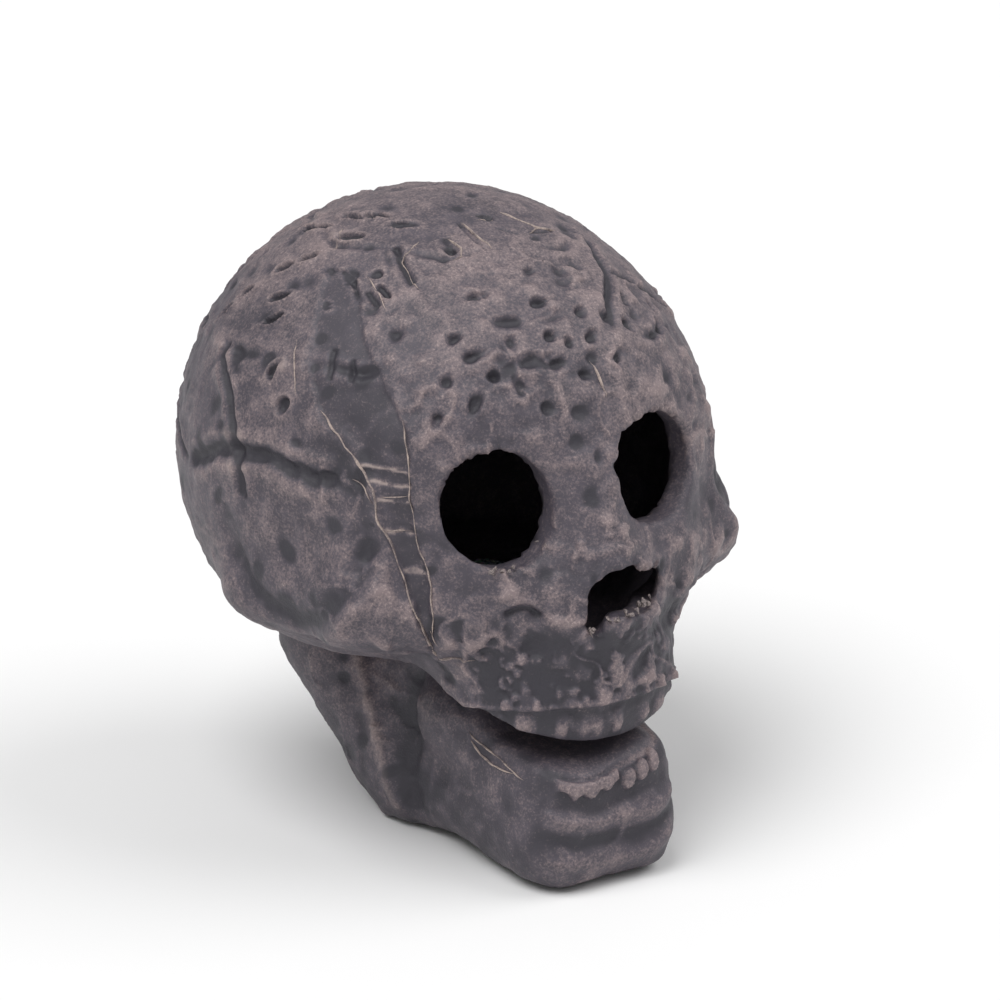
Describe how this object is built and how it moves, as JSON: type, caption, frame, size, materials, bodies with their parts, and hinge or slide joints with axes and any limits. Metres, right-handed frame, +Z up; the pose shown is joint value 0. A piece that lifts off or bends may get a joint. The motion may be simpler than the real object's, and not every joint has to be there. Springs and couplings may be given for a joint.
{
  "type": "aquarium bubbling ornament",
  "caption": "Hollow fired-clay skull with round eye holes, nose hole and open mouth, standing over a plug-in base that feeds air to a cylindrical air stone inside it.",
  "frame": {"origin": "middle of the footprint, on the floor that the ornament stands on", "axes": "+Z up, the face looks along -Y, +X towards the skull's left side"},
  "size_m": [0.066, 0.0761, 0.08],
  "materials": {
    "fired_clay": "unglazed smoke-fired clay, matt, worn to tan on the raised edges",
    "plate_plastic": "moulded, fine texture",
    "foot_rubber": "matt",
    "elbow_plastic": "moulded, satin",
    "nut_plastic": "moulded, satin",
    "tube_silicone": "translucent silicone, satin",
    "cap_plastic": "moulded, satin",
    "stone_grit": "sintered grit, rough"
  },
  "bodies": {
    "aerator": {"base_plate": "plate_plastic", "foot_pads": "foot_rubber", "inlet_elbow": "elbow_plastic", "elbow_nut": "nut_plastic", "inner_air_tube": "tube_silicone"},
    "diffuser": {"stone_cap": "cap_plastic", "air_stone": "stone_grit"},
    "skull": {"skull_shell": "fired_clay"}
  },
  "joints": [
    {"name": "skull_lift", "type": "slide", "parent": "aerator", "child": "skull", "axis": [0, 0, 1], "range_m": [0, 0.04]},
    {"name": "stone_pull", "type": "slide", "parent": "aerator", "child": "diffuser", "axis": [0, 0, 1], "range_m": [0, 0.004]}
  ]
}
